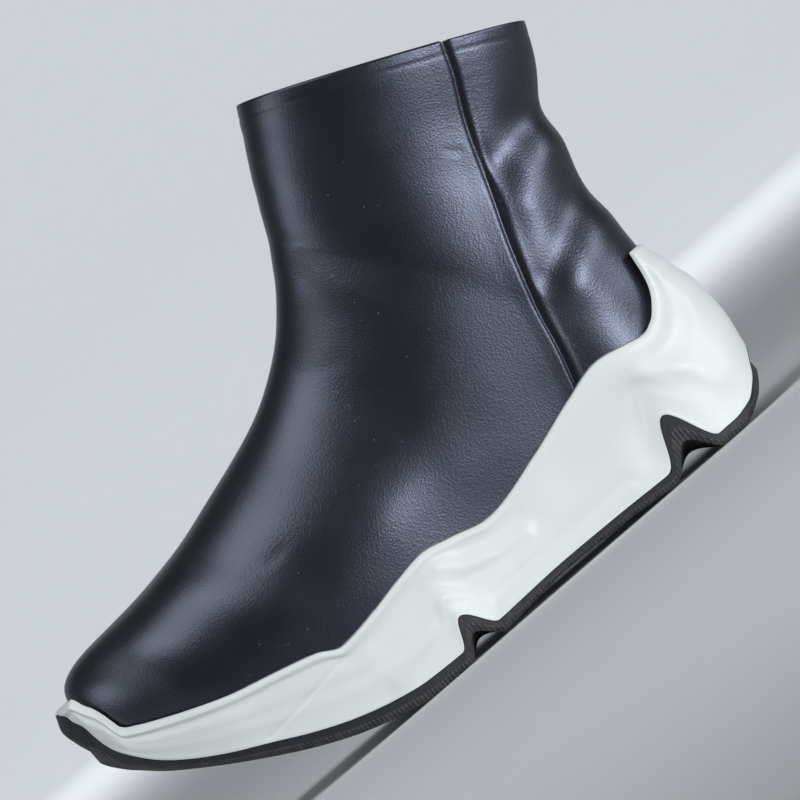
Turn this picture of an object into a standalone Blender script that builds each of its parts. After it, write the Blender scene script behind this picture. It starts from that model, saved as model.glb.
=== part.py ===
# High leather sneaker on a sculpted sole, left foot.
# Toe at -X, heel at +X, outer side at -Y, standing on z = 0.
import bpy
import bmesh
import math
import numpy as np
from mathutils import Vector

# Driving dimensions in metres
SOLE_LENGTH = 0.2762
SOLE_WIDTH = 0.103
SOLE_HEIGHT = 0.0728
FRONT_RISE = 0.1207
BACK_RISE = 0.0859
COLLAR_WIDTH = 0.070
TOE_TURN = 0.006
FLARE = 0.003
TOE_MARGIN = 0.0080
SIDE_MARGIN = 0.0058
HEEL_MARGIN = 0.0080
LIP_HEIGHT = 0.0028
LEATHER = 0.0018
OVERLAP = 0.0010
RUBBER = 0.0045
RUBBER_RIM = 0.0030
RIM_STEP = 0.0015
INSOLE_THICKNESS = 0.0040
INSOLE_EASE = 0.0013
CUP_EASE = 0.0004
CLEARANCE = 0.0003
WAIST_BULGE = 0.0025
HEEL_BULGE = 0.0052

# Places along the sole, as shares of its length: the upper's ends, the seam's foot, where the
# toe's wide margin ends, and where the heel starts and is full
UPPER_TOE = 0.036
UPPER_HEEL = 0.964
SEAM_FOOT = 0.775
TOE_FULL = 0.12
HEEL_START = 0.70
HEEL_FULL = 0.90
TOE_TURN_END = 0.40

# Least half width of a section, as a share of its half width on the bed
LEAST_BULGE = 1.025

# Round ends of the outlines: length of the round as a share of the sole, and its fullness
SOLE_TOE_ROUND = (0.20, 2.5)
SOLE_HEEL_ROUND = (0.15, 2.3)
UPPER_TOE_ROUND = (0.20, 2.1)
UPPER_HEEL_ROUND = (0.13, 2.2)

# Share of a notch's depth that is left at the middle of the sole
NOTCH_MIDDLE = 0.45

# Half widths of the sole: along, outer side, inner side
PLAN = [
    (0.00, 0.67, 0.76),
    (0.10, 0.79, 0.86),
    (0.20, 0.92, 0.95),
    (0.30, 0.985, 0.99),
    (0.37, 1.00, 0.96),
    (0.46, 0.96, 0.86),
    (0.56, 0.86, 0.745),
    (0.66, 0.79, 0.70),
    (0.76, 0.77, 0.715),
    (0.86, 0.77, 0.74),
    (0.94, 0.76, 0.75),
    (1.00, 0.75, 0.75),
]

# Side of the sole: along, underside, edge of the rubber, as shares of the sole's height
SIDE = [
    (0.000, 0.951, 1.110),
    (0.008, 0.829, 1.102),
    (0.018, 0.765, 1.034),
    (0.028, 0.722, 0.966),
    (0.033, 0.702, 0.854),
    (0.040, 0.676, 0.790),
    (0.050, 0.644, 0.737),
    (0.076, 0.561, 0.629),
    (0.102, 0.493, 0.551),
    (0.153, 0.373, 0.434),
    (0.204, 0.263, 0.339),
    (0.256, 0.163, 0.241),
    (0.307, 0.085, 0.163),
    (0.359, 0.030, 0.107),
    (0.407, 0.000, 0.076),
    (0.468, 0.000, 0.068),
    (0.535, 0.018, 0.073),
    (0.629, 0.043, 0.083),
    (0.719, 0.034, 0.078),
    (0.798, 0.012, 0.068),
    (0.884, 0.000, 0.060),
    (0.916, 0.000, 0.060),
    (0.937, 0.024, 0.073),
    (0.950, 0.051, 0.088),
    (0.963, 0.083, 0.122),
    (0.976, 0.137, 0.166),
    (0.985, 0.185, 0.215),
    (1.000, 0.300, 0.290),
]

# Notches between the pods: place, reach toward toe and heel, sharpness toward toe and heel,
# depth of the underside and of the rubber's edge
NOTCHES = [
    (0.488, 0.027, 0.037, 2.4, 2.0, 0.107, 0.141),
    (0.847, 0.048, 0.042, 3.2, 2.0, 0.141, 0.239),
]

# Top edge of the midsole: along, height as a share of the sole's height
LIP = [
    (0.000, 1.127),
    (0.028, 1.122),
    (0.037, 1.059),
    (0.044, 1.020),
    (0.051, 0.951),
    (0.057, 0.868),
    (0.076, 0.824),
    (0.102, 0.780),
    (0.140, 0.722),
    (0.204, 0.639),
    (0.269, 0.578),
    (0.320, 0.524),
    (0.351, 0.470),
    (0.410, 0.498),
    (0.461, 0.537),
    (0.506, 0.559),
    (0.545, 0.527),
    (0.598, 0.478),
    (0.693, 0.561),
    (0.770, 0.654),
    (0.828, 0.707),
    (0.873, 0.678),
    (0.901, 0.659),
    (0.924, 0.683),
    (0.943, 0.737),
    (0.960, 0.815),
    (0.968, 0.900),
    (0.974, 1.000),
    (1.000, 1.000),
]

# Bed inside the midsole: along, height as a share of the sole's height
BED = [
    (0.036, 0.839),
    (0.091, 0.649),
    (0.153, 0.537),
    (0.204, 0.463),
    (0.269, 0.390),
    (0.333, 0.341),
    (0.397, 0.322),
    (0.461, 0.317),
    (0.526, 0.322),
    (0.590, 0.337),
    (0.654, 0.366),
    (0.719, 0.400),
    (0.783, 0.439),
    (0.847, 0.473),
    (0.911, 0.493),
    (0.964, 0.507),
]

# How far the wall stands in from the sole's outline, as shares of the flare: along, underside,
# rubber's middle and edge, then three levels of the midsole, and the lip
WALL = [
    (0.00, 1.07, 0.00, 0.70, 0.77, 0.83, 0.93, 1.07),
    (0.03, 0.85, 0.10, 0.33, 0.27, 0.27, 0.50, 1.00),
    (0.08, 0.55, 0.10, 0.13, 0.20, 0.33, 0.60, 0.93),
    (0.30, 0.33, 0.00, 0.00, 0.27, 0.60, 0.80, 0.87),
    (0.46, 0.33, 0.00, 0.00, 0.20, 0.63, 0.87, 0.87),
    (0.62, 0.33, 0.07, 0.07, 0.40, 0.93, 1.00, 0.93),
    (0.80, 0.33, 0.07, 0.07, 0.27, 0.60, 0.87, 1.07),
    (0.92, 0.53, 0.20, 0.20, 0.13, 0.20, 0.67, 1.50),
    (1.00, 1.60, 1.10, 0.75, 0.03, 0.20, 1.27, 2.10),
]
WALL_LEVELS = (0.30, 0.55, 0.80)

# Height of the rubber's side at which it is thickest, as a share of its height
RUBBER_WAIST = 0.45

# The lip's rounding, as shares of its height: how far its top and groove stand in and its face
# stands out, the place of its face below the top, and its most height against the wall's
BEAD_TOP = 0.15
BEAD_GROOVE = 0.12
BEAD_FACE = 0.10
BEAD_MIDDLE = 0.6
MOST_BEAD = 0.6

# How far the solid cup's top reaches in past the upper's face, against the leather
BED_CUT = 1.27

# Step for reading a slope, and the most that a slope thickens the rubber or widens its gap
SLOPE_STEP = 0.0015
STEEPEST = 1.5
WIDEST_GAP = 3

# Ridges of the midsole's side: from along and height to along and height, height of the ridge
# as a share of the flare, reach as a share of the sole's height
RIDGES = [
    (0.348, 0.440, 0.210, 0.350, 0.25, 0.11),
    (0.384, 0.195, 0.461, 0.302, 0.30, 0.12),
    (0.461, 0.302, 0.564, 0.317, 0.35, 0.12),
    (0.564, 0.317, 0.640, 0.260, 0.25, 0.12),
    (0.873, 0.512, 0.935, 0.302, 0.30, 0.14),
]

# Sections of the foot part: front line's place and height (share of the front rise above the
# toe guard, of the sole's height below it), foot's place on the bed, greatest half width as a
# share of the sole's half width, where along the section it lies, fullness of the crown
FOOT = [
    (0.036, -0.292, 0.091, 0.00, 0.10, 2.00),
    (0.0285, -0.133, 0.096, 0.00, 0.12, 2.00),
    (0.031, 0.012, 0.105, 0.00, 0.16, 2.05),
    (0.050, 0.056, 0.121, 0.00, 0.20, 2.15),
    (0.086, 0.078, 0.143, 0.00, 0.22, 2.25),
    (0.134, 0.086, 0.171, 0.78, 0.24, 2.25),
    (0.192, 0.097, 0.207, 0.82, 0.25, 2.15),
    (0.256, 0.122, 0.256, 0.86, 0.25, 2.05),
    (0.326, 0.171, 0.317, 0.88, 0.25, 1.95),
    (0.397, 0.222, 0.391, 0.86, 0.26, 1.88),
    (0.455, 0.274, 0.468, 0.79, 0.30, 1.85),
    (0.500, 0.337, 0.558, 0.735, 0.36, 1.85),
    (0.536, 0.401, 0.648, 0.71, 0.40, 1.88),
    (0.564, 0.471, 0.731, 0.70, 0.42, 1.92),
    (0.584, 0.529, 0.798, 0.69, 0.44, 1.95),
    (0.596, 0.574, 0.853, 0.685, 0.46, 2.00),
    (0.605, 0.606, 0.905, 0.68, 0.47, 2.00),
    (0.612, 0.632, 0.942, 0.675, 0.48, 2.00),
    (0.616, 0.650, 0.964, 0.675, 0.48, 2.00),
]

# Rings of the shaft: front line's place and height, back line's place and height (share of the
# back rise above the heel cup), half width as a share of the collar's half width
SHAFT = [
    (0.6205, 0.672, 0.9700, -0.270, 0.99),
    (0.626, 0.700, 0.9715, -0.124, 0.98),
    (0.631, 0.724, 0.9724, 0.012, 0.97),
    (0.637, 0.750, 0.9724, 0.145, 0.96),
    (0.6425, 0.776, 0.9720, 0.260, 0.955),
    (0.648, 0.803, 0.9736, 0.360, 0.95),
    (0.654, 0.829, 0.9806, 0.446, 0.95),
    (0.660, 0.854, 0.9866, 0.537, 0.955),
    (0.666, 0.879, 0.9906, 0.624, 0.96),
    (0.672, 0.903, 1.002, 0.711, 0.97),
    (0.678, 0.926, 1.017, 0.789, 0.98),
    (0.683, 0.953, 1.031, 0.860, 0.99),
    (0.690, 0.978, 1.042, 0.934, 1.00),
    (0.695, 1.000, 1.051, 1.000, 1.00),
]
SHAFT_WIDEST = 0.48
SHAFT_CROWN = 2.05
BACK_FULLNESS = 2.25

# Seam of the two panels, from the collar down: along, height as a share of the collar's height
SEAM = [
    (0.946, 0.842),
    (0.931, 0.788),
    (0.911, 0.736),
    (0.891, 0.671),
    (0.871, 0.595),
    (0.852, 0.534),
    (0.832, 0.460),
    (0.815, 0.385),
    (0.804, 0.310),
    (0.786, 0.235),
    (0.775, 0.150),
]

# Soft folds of the back panel: from along and height to along and height (shares of the
# collar's height), depth as a share of the leather, reach as a share of the collar's height
FOLDS = [
    (0.900, 0.625, 1.005, 0.640, -1.50, 0.050),
    (0.890, 0.550, 0.970, 0.565, 0.80, 0.045),
    (0.880, 0.420, 0.965, 0.480, -0.90, 0.040),
]

TOE_STEPS = 9
HEEL_STEPS = 8
TOE_ZONE = 0.075
HEEL_ZONE = 0.916
BODY_STEP = 0.030
NOTCH_STEPS = 8
UNDER_CELLS = 6
COVER_CELLS = 4
FOOT_SECTIONS = 26
BACK_CELLS = 4
FRONT_CELLS = 10
DENSE = 96

TOE_X = -0.5 * (SHAFT[-1][2] * SOLE_LENGTH - OVERLAP)
COLLAR_Z = LIP[0][1] * SOLE_HEIGHT + FRONT_RISE


def smooth(rows, column, x):
    """Value of a table's column at x, by a cubic that never overshoots its rows."""
    xs = np.array([row[0] for row in rows], float)
    ys = np.array([row[column] for row in rows], float)
    step = np.diff(xs)
    slope = np.diff(ys) / step
    tangent = np.zeros(len(xs))
    tangent[0] = slope[0]
    tangent[-1] = slope[-1]
    for k in range(1, len(xs) - 1):
        if slope[k - 1] * slope[k] > 0:
            before = 2 * step[k] + step[k - 1]
            after = step[k] + 2 * step[k - 1]
            tangent[k] = (before + after) / (before / slope[k - 1] + after / slope[k])
    x = np.clip(x, xs[0], xs[-1])
    k = np.clip(np.searchsorted(xs, x) - 1, 0, len(step) - 1)
    t = (x - xs[k]) / step[k]
    h = step[k]
    value = (2 * t**3 - 3 * t**2 + 1) * ys[k] + (t**3 - 2 * t**2 + t) * h * tangent[k]
    return value + (3 * t**2 - 2 * t**3) * ys[k + 1] + (t**3 - t**2) * h * tangent[k + 1]


def along(x):
    """Share of the sole's length at a place on X."""
    return (x - TOE_X) / SOLE_LENGTH


def place(share):
    """Place on X of a share of the sole's length."""
    return TOE_X + share * SOLE_LENGTH


def centre(share):
    """Middle line of the shoe: its toe turns toward the inner side."""
    return TOE_TURN * np.clip(1 - np.asarray(share, float) / TOE_TURN_END, 0, 1)**2


def round_end(distance, length, fullness):
    """Factor that closes an outline over its round end."""
    left = 1 - np.clip(distance / length, 0, 1)
    return (1 - left**fullness)**(1 / fullness)


def sole_half(share, side):
    """Half width of the sole's outline."""
    wide = smooth(PLAN, 1 if side < 0 else 2, share) * SOLE_WIDTH / 2
    toe = round_end(share, *SOLE_TOE_ROUND)
    heel = round_end(1 - share, *SOLE_HEEL_ROUND)
    return wide * toe * heel


def heel_share(share):
    """How far a place lies into the heel: 0 ahead of it, 1 behind its start."""
    return np.clip((share - HEEL_START) / (HEEL_FULL - HEEL_START), 0, 1)


def bed_half(share, side):
    """Half width of the bed, before its ends are rounded."""
    wide = smooth(PLAN, 1 if side < 0 else 2, share) * SOLE_WIDTH / 2
    return wide - SIDE_MARGIN - (HEEL_MARGIN - SIDE_MARGIN) * heel_share(share)


def upper_half(share, side):
    """Half width of the upper where it stands on the bed."""
    toe = round_end(share - UPPER_TOE, *UPPER_TOE_ROUND)
    heel = round_end(UPPER_HEEL - share, *UPPER_HEEL_ROUND)
    return bed_half(share, side) * toe * heel


def notch(share, column):
    """Lift of the underside (column 5) or the rubber's edge (column 6) in the notches."""
    lift = 0
    for row in NOTCHES:
        offset = share - row[0]
        reach = np.where(offset < 0, row[1], row[2])
        sharp = np.where(offset < 0, row[3], row[4])
        nearness = np.cos(np.clip(np.abs(offset) / reach, 0, 1) * math.pi / 2)
        lift = lift + row[column] * np.maximum(nearness, 0)**sharp
    return lift * SOLE_HEIGHT


def underside(share, middle):
    """Height of the sole's underside; middle runs from 0 at the edge to 1."""
    kept = 1 - (1 - NOTCH_MIDDLE) * middle
    return smooth(SIDE, 1, share) * SOLE_HEIGHT + notch(share, 5) * kept


def rubber_edge(share):
    """Height of the line between rubber and midsole on the side."""
    return smooth(SIDE, 2, share) * SOLE_HEIGHT + notch(share, 6)


def lip(share):
    """Height of the midsole's top edge."""
    return smooth(LIP, 1, share) * SOLE_HEIGHT


def bed(share):
    """Height of the bed inside the midsole."""
    return smooth(BED, 1, share) * SOLE_HEIGHT


def slope(height, share):
    """Steepness of a height along the sole, whichever way it runs."""
    rise = height(share + SLOPE_STEP) - height(share - SLOPE_STEP)
    return np.abs(rise) / (2 * SLOPE_STEP * SOLE_LENGTH)


def rubber_top(share):
    """Height of the rubber's upper face away from its rim."""
    climb = slope(lambda s: underside(s, 1), share)
    thick = RUBBER * np.sqrt(1 + np.minimum(climb, STEEPEST)**2)
    return np.minimum(underside(share, 1) + thick, rubber_edge(share) - CLEARANCE)


def stations():
    """Shares along the sole, close together at the round ends and in the notches."""
    shares = [TOE_ZONE * (k / TOE_STEPS)**2 for k in range(TOE_STEPS)]
    zones = [(TOE_ZONE, NOTCHES[0][0] - NOTCHES[0][1])]
    zones.append((NOTCHES[0][0] + NOTCHES[0][2], NOTCHES[1][0] - NOTCHES[1][1]))
    zones.append((NOTCHES[1][0] + NOTCHES[1][2], HEEL_ZONE))
    for number, (start, end) in enumerate(zones):
        count = max(1, round((end - start) / BODY_STEP))
        shares += [start + (end - start) * k / count for k in range(count)]
        if number < len(NOTCHES):
            row = NOTCHES[number]
            start = row[0] - row[1]
            shares += [start + (row[1] + row[2]) * k / NOTCH_STEPS for k in range(NOTCH_STEPS)]
    shares += [1 - (1 - HEEL_ZONE) * (1 - k / HEEL_STEPS)**2 for k in range(HEEL_STEPS + 1)]
    return np.array(shares)


def outline(side):
    """Points of the sole's outline and the directions that point in from them."""
    shares = stations()
    x = place(shares)
    y = centre(shares) + side * sole_half(shares, side)
    points = np.stack([x, y], 1)
    fine = np.concatenate([[[x[1], 2 * y[0] - y[1]]], points, [[x[-2], 2 * y[-1] - y[-2]]]])
    run = fine[2:] - fine[:-2]
    run[0] = (0, side)
    run[-1] = (0, -side)
    run /= np.linalg.norm(run, axis=1)[:, None]
    inward = np.stack([run[:, 1], -run[:, 0]], 1) * side
    return points, inward


def ridge_push(x, z, rows, tall):
    """Sum of the ridges and troughs at places seen from the side; heights are shares of tall."""
    push = np.zeros(np.shape(x))
    for x1, z1, x2, z2, height, reach in rows:
        start = np.array([place(x1), z1 * tall])
        run = np.array([place(x2), z2 * tall]) - start
        t = ((x - start[0]) * run[0] + (z - start[1]) * run[1]) / run.dot(run)
        t = np.clip(t, 0, 1)
        away = np.hypot(x - start[0] - t * run[0], z - start[1] - t * run[1])
        push = push + height * np.exp(-(away / (reach * tall))**2)
    return push


def loop(side, inset, height):
    """A ring of points round one side of the sole, inset metres in from its outline."""
    points, inward = outline(side)
    flat = points + inward * np.asarray(inset)[:, None]
    return np.column_stack([flat, height(along(flat[:, 0]))])


def add_grid(mesh, grid, flip):
    """Pairs of triangles between neighbouring points, so that facing pieces split alike."""
    points = [[mesh.verts.new(Vector(p)) for p in row] for row in grid]
    for first, second in zip(points, points[1:]):
        for k in range(len(first) - 1):
            for ring in ([first[k], first[k + 1], second[k + 1]],
                         [first[k], second[k + 1], second[k]]):
                mesh.faces.new(ring[::-1] if flip else ring)


def across(left, right, cells, height):
    """Rows of points from one side's ring to the other's; height(share, nearness to the middle)."""
    columns = []
    for step in np.linspace(0, 1, cells + 1):
        points = left * (1 - step) + right * step
        if 0 < step < 1:
            points[:, 2] = height(along(points[:, 0]), 1 - (2 * step - 1)**2)
        columns.append(points)
    return columns


def finish_mesh(mesh, name, collection, material):
    """Merge the shared points, face the mesh outward and make it an object."""
    bmesh.ops.remove_doubles(mesh, verts=mesh.verts, dist=1e-6)
    bmesh.ops.dissolve_degenerate(mesh, dist=1e-6, edges=mesh.edges)
    bmesh.ops.triangulate(mesh, faces=[f for f in mesh.faces if len(f.verts) > 4])
    bmesh.ops.recalc_face_normals(mesh, faces=mesh.faces)
    if mesh.calc_volume(signed=True) < 0:
        bmesh.ops.reverse_faces(mesh, faces=mesh.faces)
    data = bpy.data.meshes.new(name)
    mesh.to_mesh(data)
    mesh.free()
    item = bpy.data.objects.new(name, data)
    collection.objects.link(item)
    data.shade_smooth()
    data.set_sharp_from_angle(angle=math.radians(40))
    if material:
        data.materials.append(material)
    return item


def make_material(name, colour, roughness):
    """A plain finish with the photo's colour."""
    material = bpy.data.materials.new(name)
    material.use_nodes = True
    shader = material.node_tree.nodes["Principled BSDF"]
    shader.inputs["Base Color"].default_value = (*colour, 1)
    shader.inputs["Roughness"].default_value = roughness
    shader.inputs["Metallic"].default_value = 0
    return material


def wall_inset(column):
    """Inset of one level of the sole's wall at every station."""
    return smooth(WALL, column, stations()) * FLARE


def build_outsole(collection):
    """Thin rubber under the pods, with a rim that wraps up over the toe."""
    mesh = bmesh.new()
    sides = {}
    for side in (-1, 1):
        low = loop(side, wall_inset(1), lambda s: underside(s, 0))
        top = loop(side, wall_inset(3), rubber_edge)
        waist = loop(side, wall_inset(2), rubber_edge)
        waist[:, 2] = low[:, 2] + RUBBER_WAIST * (top[:, 2] - low[:, 2])
        rim = loop(side, wall_inset(3) + RUBBER_RIM, rubber_edge)
        rim[:, 2] = top[:, 2]
        floor = loop(side, wall_inset(3) + RUBBER_RIM + RIM_STEP, rubber_top)
        sides[side] = (low, waist, top, rim, floor)
        add_grid(mesh, [low, waist, top, rim, floor], side > 0)
    add_grid(mesh, across(sides[-1][0], sides[1][0], UNDER_CELLS, underside), True)
    cover = across(sides[-1][4], sides[1][4], COVER_CELLS, lambda s, near: rubber_top(s))
    add_grid(mesh, cover, False)
    rubber = make_material("black_rubber", (0.018, 0.018, 0.021), 0.62)
    return finish_mesh(mesh, "outsole", collection, rubber)


def steep_gap(share):
    """Vertical clearance over the rubber's edge, larger where the edge climbs."""
    climb = slope(rubber_edge, share)
    return CLEARANCE * np.minimum(np.sqrt(1 + climb**2), WIDEST_GAP)


def foam_foot(share):
    """Lower edge of the midsole's wall."""
    return rubber_edge(share) + steep_gap(share)


def foam_under(share):
    """Underside of the midsole over the rubber's face."""
    return rubber_top(share) + steep_gap(share)


def build_midsole(collection, shoe_form):
    """Foam cup: sculpted wall, lip, and a bed cut to the form of the upper."""
    mesh = bmesh.new()
    sides = {}
    for side in (-1, 1):
        foot = loop(side, wall_inset(3), foam_foot)
        lip_inset = wall_inset(7)
        top = loop(side, lip_inset + BEAD_TOP * LIP_HEIGHT, lip)
        bead = np.minimum(LIP_HEIGHT, MOST_BEAD * (top[:, 2] - foot[:, 2]))
        levels = [foot]
        for column, share in zip((4, 5, 6), WALL_LEVELS):
            level = loop(side, wall_inset(column), lip)
            level[:, 2] = foot[:, 2] + share * (top[:, 2] - bead - foot[:, 2])
            push = ridge_push(level[:, 0], level[:, 2], RIDGES, SOLE_HEIGHT)
            raised = loop(side, wall_inset(column) - push * FLARE, lip)
            level[:, :2] = raised[:, :2]
            levels.append(level)
        groove = loop(side, lip_inset + BEAD_GROOVE * LIP_HEIGHT, lip)
        groove[:, 2] = top[:, 2] - bead
        face = loop(side, lip_inset - BEAD_FACE * LIP_HEIGHT, lip)
        face[:, 2] = top[:, 2] - BEAD_MIDDLE * bead
        inside = loop(side, lip_inset + BEAD_TOP * LIP_HEIGHT, lip)
        points, inward = outline(side)
        depth = margin(stations()) + BED_CUT * LEATHER
        inside[:, :2] = points + inward * np.maximum(depth, lip_inset + LIP_HEIGHT)[:, None]
        inside[:, 2] = top[:, 2]
        rim = loop(side, wall_inset(3) + RUBBER_RIM + CLEARANCE, foam_foot)
        rim[:, 2] = foot[:, 2]
        floor = loop(side, wall_inset(3) + RUBBER_RIM + RIM_STEP + CLEARANCE, foam_under)
        levels += [groove, face, top, inside]
        sides[side] = (floor, inside)
        add_grid(mesh, levels[::-1] + [rim, floor], side < 0)
    under = across(sides[-1][0], sides[1][0], COVER_CELLS, lambda s, near: foam_under(s))
    add_grid(mesh, under, True)
    add_grid(mesh, [sides[-1][1], sides[1][1]], False)
    foam = make_material("white_foam", (0.78, 0.79, 0.80), 0.48)
    midsole = finish_mesh(mesh, "midsole", collection, foam)
    cut = midsole.modifiers.new("bed", "BOOLEAN")
    cut.operation = "DIFFERENCE"
    cut.solver = "EXACT"
    cut.use_self = True
    cut.object = shoe_form
    return midsole


def margin(share):
    """Distance from the sole's outline in to the upper."""
    toe = np.clip(1 - share / TOE_FULL, 0, 1)
    heel = heel_share(share)
    return SIDE_MARGIN + (TOE_MARGIN - SIDE_MARGIN) * toe + (HEEL_MARGIN - SIDE_MARGIN) * heel


def section_rows():
    """Every section's ends and shape: foot sections first, then the shaft's rings."""
    rows = []
    ticks = [(k,) + row for k, row in enumerate(FOOT)]
    toe_guard = LIP[0][1] * SOLE_HEIGHT
    for k in range(FOOT_SECTIONS):
        t = (len(FOOT) - 1) * k / (FOOT_SECTIONS - 1)
        front, rise, foot, wide, widest, crown = [smooth(ticks, c, t) for c in range(1, 7)]
        scale = FRONT_RISE if rise > 0 else SOLE_HEIGHT
        ends = ((place(front), toe_guard + rise * scale), (place(foot), float(bed(foot))))
        halves = []
        for side in (-1, 1):
            base = float(upper_half(foot, side))
            bulge = WAIST_BULGE + (HEEL_BULGE - WAIST_BULGE) * heel_share(foot)
            half = min(wide * SOLE_WIDTH / 2, bed_half(foot, side) + bulge)
            halves.append((base, float(max(half, LEAST_BULGE * base))))
        rows.append((*ends, halves, float(widest), float(crown)))
    for front, rise, back, back_rise, wide in SHAFT:
        ends = ((place(front), toe_guard + rise * FRONT_RISE),
                (place(back), SOLE_HEIGHT + back_rise * BACK_RISE))
        half = (0.0, wide * COLLAR_WIDTH / 2)
        rows.append((*ends, [half, half], SHAFT_WIDEST, SHAFT_CROWN))
    return rows


def seam_share(front, foot):
    """Share of a section, from its foot, at which it meets the seam; 0 where it doesn't."""
    seam = [(place(x), z * COLLAR_Z) for x, z in SEAM]
    start = np.array(foot)
    run = np.array(front) - start
    for a, b in zip(seam, seam[1:]):
        side = np.array(b) - np.array(a)
        cross = run[0] * side[1] - run[1] * side[0]
        gap = np.array(a) - start
        t = (gap[0] * side[1] - gap[1] * side[0]) / cross
        u = (gap[0] * run[1] - gap[1] * run[0]) / cross
        if 0 <= u <= 1 and 0 < t < 1:
            return t
    top = np.array(seam[0])
    return float(np.clip((top - start).dot(run) / run.dot(run), 0, 1))


def section_curve(base, half, widest, crown):
    """Dense shares along a section and its half widths there."""
    angle = np.linspace(math.asin(min(base / half, 0.999)), math.pi / 2, DENSE)
    low = widest * (1 - np.cos(angle) / math.cos(angle[0]))
    lift = np.sin(angle)
    open_foot = base / half
    full = 2 / BACK_FULLNESS + (1 - 2 / BACK_FULLNESS) * open_foot
    wide = half * (open_foot + (1 - open_foot) * ((lift - open_foot) / (1 - open_foot))**full)
    turn = np.linspace(0, math.pi / 2, DENSE)[1:]
    high = widest + (1 - widest) * np.sin(turn)**(2 / crown)
    narrow = half * np.maximum(np.cos(turn), 0)**(2 / crown)
    return np.concatenate([low, high]), np.concatenate([wide, narrow])


def section_points(row, side):
    """Points of one section on one side: back panel's, then front panel's."""
    front, foot, halves, widest, crown = row
    base, half = halves[0 if side < 0 else 1]
    shares, wide = section_curve(base, half, widest, crown)
    seam = seam_share(front, foot) if along(foot[0]) > SEAM_FOOT else 0
    start = np.array(foot)
    run = np.array(front) - start
    length = np.concatenate([[0], np.cumsum(np.hypot(
        np.diff(shares) * np.linalg.norm(run), np.diff(wide)))])
    met = np.interp(seam, shares, length)
    marks = np.concatenate([np.linspace(0, met, BACK_CELLS + 1),
                            np.linspace(met, length[-1], FRONT_CELLS + 1)])
    at = np.interp(marks, length, shares)
    x = start[0] + at * run[0]
    z = start[1] + at * run[1]
    width = np.interp(marks, length, wide)
    width[-1] = 0
    if base == 0:
        width[0] = 0
    return np.column_stack([x, centre(along(x)) + side * width, z])


def upper_base():
    """The back panel's outer face on both sides, with its outward directions."""
    rows = section_rows()
    grids = {}
    for side in (-1, 1):
        grids[side] = np.array([section_points(row, side) for row in rows])
    normals = {}
    for side in (-1, 1):
        grid = grids[side]
        other = grids[-side]
        seamless = np.concatenate([grid[:, :BACK_CELLS], grid[:, BACK_CELLS + 1:]], 1)
        beyond = np.concatenate([other[:, :BACK_CELLS], other[:, BACK_CELLS + 1:]], 1)
        wide = np.concatenate([beyond[:, 1:2], seamless, beyond[:, -2:-1]], 1)
        run = wide[:, 2:] - wide[:, :-2]
        open_foot = slice(0, FOOT_SECTIONS - 1)
        run[open_foot, 0] = wide[open_foot, 2] - wide[open_foot, 1]
        climb = np.gradient(seamless, axis=0)
        direction = np.cross(run, climb) * side
        size = np.linalg.norm(direction, axis=2)
        direction /= np.maximum(size, 1e-12)[..., None]
        for k in range(FOOT_SECTIONS):
            if along(rows[k][1][0]) <= SEAM_FOOT:
                direction[k, :BACK_CELLS] = direction[k, BACK_CELLS]
        normals[side] = np.concatenate([direction[:, :BACK_CELLS + 1],
                                        direction[:, BACK_CELLS:]], 1)
    return rows, grids, normals


def level_edges(rows, grids, normals):
    """Directions along the sole and the collar kept in the plane of the edge."""
    top_run = np.array([rows[-1][0][0] - rows[-1][1][0], 0, rows[-1][0][1] - rows[-1][1][1]])
    top_run /= np.linalg.norm(top_run)
    collar_axis = np.array([-top_run[2], 0, top_run[0]])
    for side in (-1, 1):
        direction = normals[side]
        direction[0, :, 2] = 0
        for k in range(FOOT_SECTIONS):
            direction[k, 0, 2] = 0
            ahead = along(rows[k][1][0]) <= SEAM_FOOT
            if ahead:
                direction[k, :BACK_CELLS + 2, 2] = 0
        direction[-1] -= np.outer(direction[-1] @ collar_axis, collar_axis)
        direction[FOOT_SECTIONS - 1:, 0, 1] = 0
        direction[:, -1, 1] = 0
        direction /= np.linalg.norm(direction, axis=2)[..., None]


def fold_back(grids, normals):
    """Press the soft folds into the back panel's face."""
    for side in (-1, 1):
        grid = grids[side]
        push = ridge_push(grid[..., 0], grid[..., 2], FOLDS, COLLAR_Z)
        push[:, BACK_CELLS:] = 0
        grid += normals[side] * (push * LEATHER)[..., None]


def skin(form, back_out, front_out, lift, seam_shift=0):
    """One face of the upper on both sides, moved out by the given distances."""
    rows, grids, normals = form
    faces = {}
    for side in (-1, 1):
        out = np.full(grids[side].shape[:2], float(front_out))
        out[:, :BACK_CELLS + 1] = back_out
        for k in range(FOOT_SECTIONS):
            if along(rows[k][1][0]) <= SEAM_FOOT:
                out[k, :] = front_out
                seam_start = k + 1
        faces[side] = grids[side] + normals[side] * out[..., None]
        faces[side][seam_start:, BACK_CELLS:BACK_CELLS + 2, 0] += seam_shift
        for edge in (faces[side][0], faces[side][1:FOOT_SECTIONS, 0]):
            edge[:, 2] = bed(along(edge[:, 0])) + lift
    return faces


def build_form(name, form, back_out, front_out, collection):
    """The upper as a filled body, from the bed to past the collar."""
    faces = skin(form, back_out, front_out, 0, CUP_EASE)
    mesh = bmesh.new()
    for side in (-1, 1):
        add_grid(mesh, faces[side], side > 0)
    add_grid(mesh, [faces[-1][0], faces[1][0]], True)
    add_grid(mesh, [faces[-1][-1], faces[1][-1]], False)
    add_grid(mesh, [faces[-1][:FOOT_SECTIONS, 0], faces[1][:FOOT_SECTIONS, 0]], True)
    item = finish_mesh(mesh, name, collection, None)
    item.hide_render = True
    item.display_type = "WIRE"
    return item


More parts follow.
